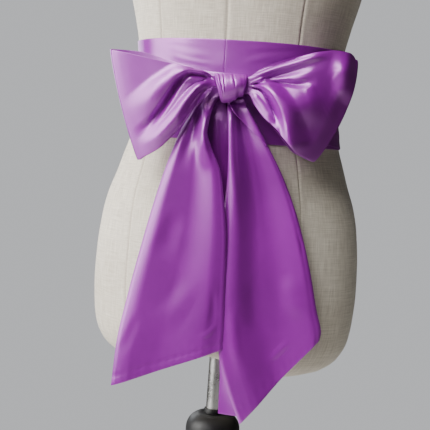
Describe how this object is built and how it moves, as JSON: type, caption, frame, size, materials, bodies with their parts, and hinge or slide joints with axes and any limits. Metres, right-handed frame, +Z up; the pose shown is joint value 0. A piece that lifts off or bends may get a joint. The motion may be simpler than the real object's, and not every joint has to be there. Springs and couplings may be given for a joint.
{
  "type": "satin sash on a dress form",
  "caption": "Wide satin sash wound round the waist of a limbless dress form on a round-based stand, tied in front in a bow with hanging slanted ends.",
  "frame": {"origin": "centre of the stand's underside, on the floor", "axes": "+Z up along the form's height; the form's front and the bow face -Y; +X is to the right of someone who looks at the bow"},
  "size_m": [0.346, 0.32, 1.5183],
  "materials": {
    "satin": "purple satin with a soft sheen",
    "linen": "natural woven linen",
    "cap": "smooth black",
    "pole": "polished",
    "hub": "satin black",
    "stand": "black enamel"
  },
  "bodies": {
    "root": {"band_left": "satin", "band_right": "satin", "wrap_left": "satin", "wrap_right": "satin", "knot": "satin", "loop_left": "satin", "loop_right": "satin", "tail_left": "satin", "tail_left_pleat": "satin", "tail_right": "satin", "tail_right_overlay": "satin", "tail_right_turn_back": "satin", "dress_form_body": "linen", "dress_form_neck_cap": "cap", "stand_pole": "pole", "stand_collar": "hub", "stand_hub": "hub", "stand_tube": "stand", "stand_base": "stand"}
  },
  "joints": []
}
